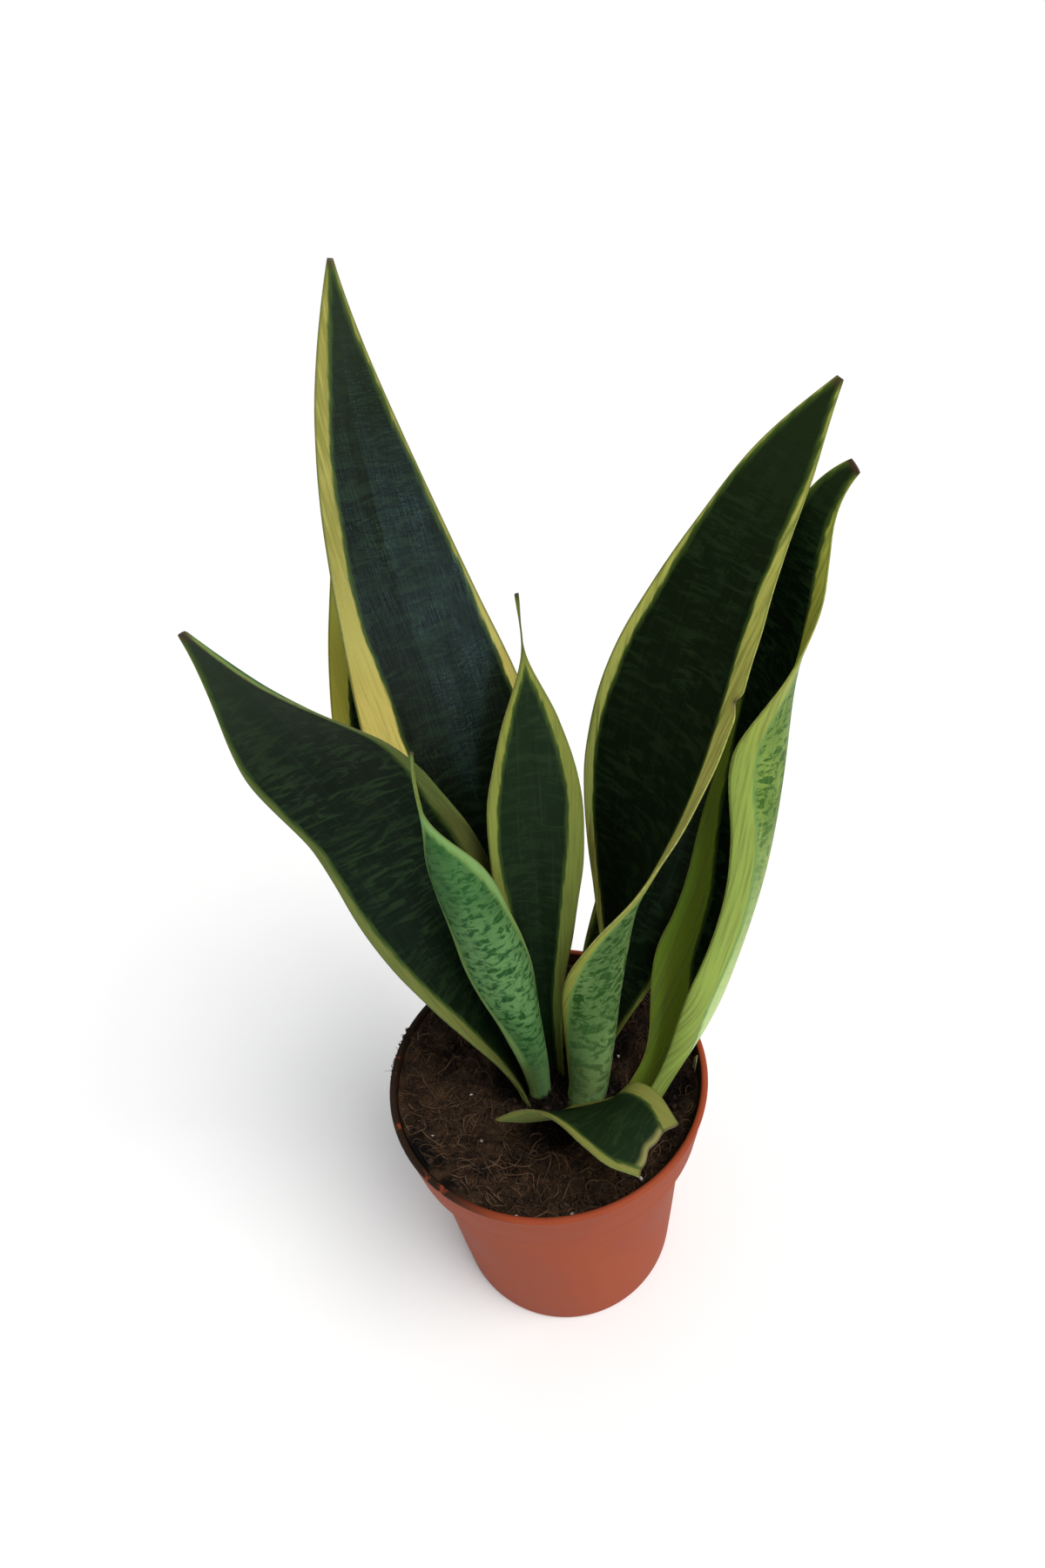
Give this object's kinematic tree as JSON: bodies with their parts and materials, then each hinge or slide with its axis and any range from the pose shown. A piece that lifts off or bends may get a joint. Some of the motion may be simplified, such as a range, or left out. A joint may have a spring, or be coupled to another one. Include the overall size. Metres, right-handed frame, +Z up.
{
  "type": "potted snake plant",
  "caption": "Snake plant with dark, yellow-edged sword leaves in a small terracotta-coloured plastic nursery pot of dark soil.",
  "frame": {"origin": "middle of the pot's flat underside, on the surface that it stands on", "axes": "+Z up, +Y towards the back of the plant, +X to its right as seen from the front"},
  "size_m": [0.1715, 0.1346, 0.3641],
  "materials": {
    "pot_plastic": "satin moulded terracotta colour",
    "soil_mix": "rough, fibrous",
    "rhizome_skin": "dull",
    "leaf_blade": "waxy satin, yellow margins",
    "leaf_young": "waxy satin, mottled",
    "dry_scale": "papery"
  },
  "bodies": {
    "root": {"pot": "pot_plastic", "soil": "soil_mix", "rhizome": "rhizome_skin", "leaf_tall_left": "leaf_blade", "leaf_rear_left": "leaf_blade", "leaf_low_left": "leaf_blade", "leaf_centre": "leaf_blade", "leaf_young_left": "leaf_young", "leaf_right": "leaf_blade", "leaf_right_rear": "leaf_blade", "leaf_far_right": "leaf_blade", "leaf_front_low": "leaf_blade", "dry_scale": "dry_scale"}
  },
  "joints": []
}
